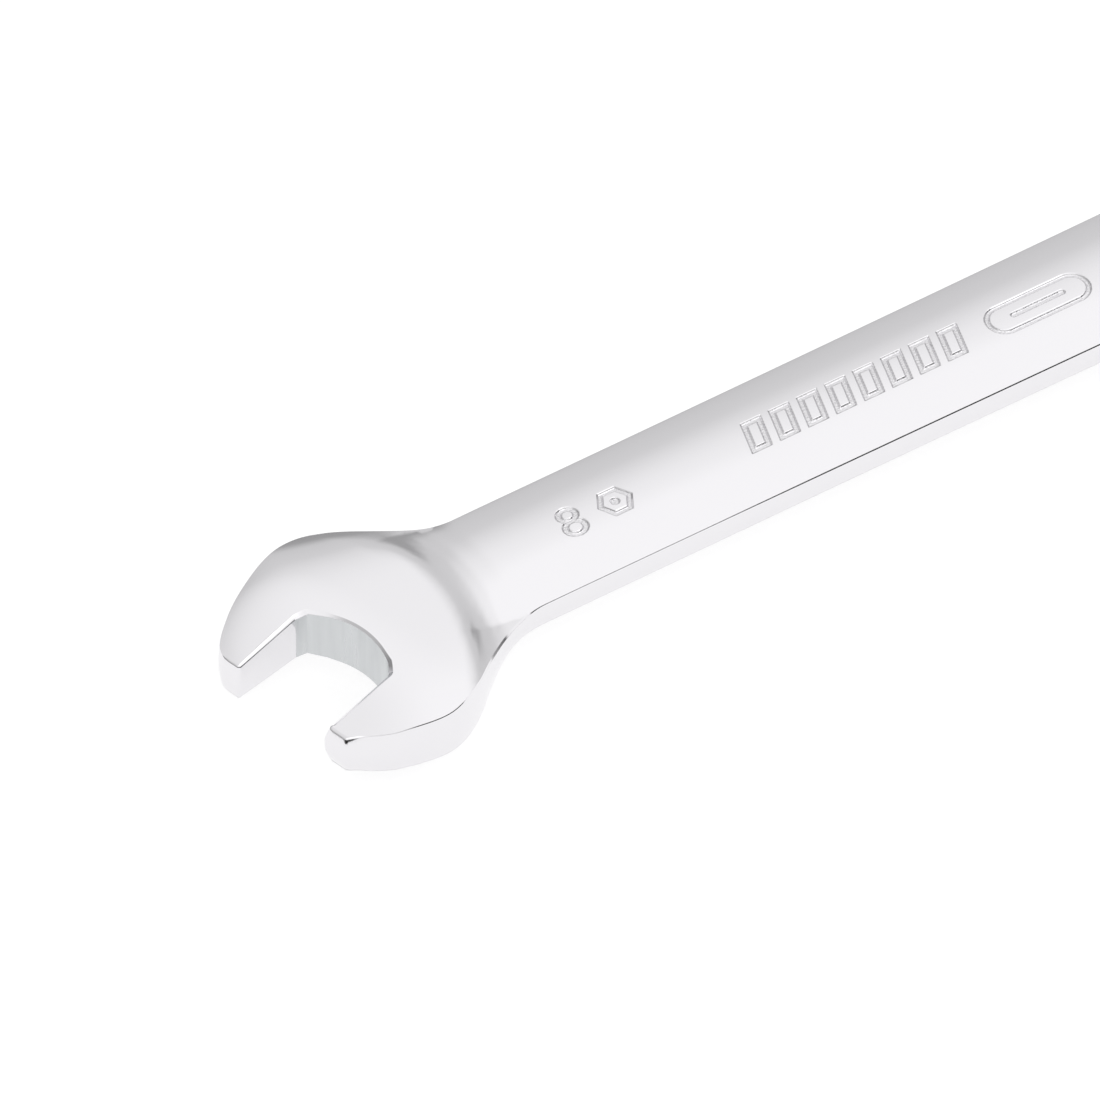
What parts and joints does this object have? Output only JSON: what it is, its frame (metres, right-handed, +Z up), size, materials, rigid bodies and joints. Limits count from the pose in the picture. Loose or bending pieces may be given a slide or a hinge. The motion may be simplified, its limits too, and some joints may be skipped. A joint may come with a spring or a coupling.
{
  "type": "combination wrench",
  "caption": "Ratcheting combination wrench with an angled open end, a crowned chrome shank and a one-way ratcheting twelve-point ring.",
  "frame": {"origin": "middle of the bounding box in plan, on the flat underside of the ring end", "axes": "+X along the tool from the open end to the ring end, +Z up out of the face it is seen from, +Y across the tool towards the longer jaw"},
  "size_m": [0.14, 0.0198, 0.0071],
  "materials": {
    "polished_chrome": "polished nickel-chrome plating with very fine polishing lines",
    "satin_chrome": "satin chrome plating",
    "hardened_steel": "ground hardened steel, lightly oiled",
    "zinc_plate": "zinc plate",
    "spring_steel": "drawn spring wire",
    "black_oxide": "black oxide with worn edges",
    "seal_rubber": "matt nitrile rubber"
  },
  "bodies": {
    "wrench": {"wrench_body": "polished_chrome", "cover_plate": "black_oxide", "retaining_ring": "black_oxide", "pawl_spring": "spring_steel"},
    "gear": {"ratchet_gear": "satin_chrome", "dust_seal": "seal_rubber"},
    "pawl": {"pawl": "hardened_steel", "spring_plunger": "zinc_plate"}
  },
  "joints": [
    {"name": "gear_spin", "type": "hinge", "parent": "wrench", "child": "gear", "pos_m": [0.06148, 0.0009, 0.00355], "axis": [0, 0, 1], "continuous": true},
    {"name": "pawl_slide", "type": "slide", "parent": "wrench", "child": "pawl", "axis": [-0.866, 0.5, 0], "range_m": [0, 0.0005], "stiffness_N_per_m": 6600, "springref_m": -0.0003, "deforming": ["pawl_spring"]}
  ]
}
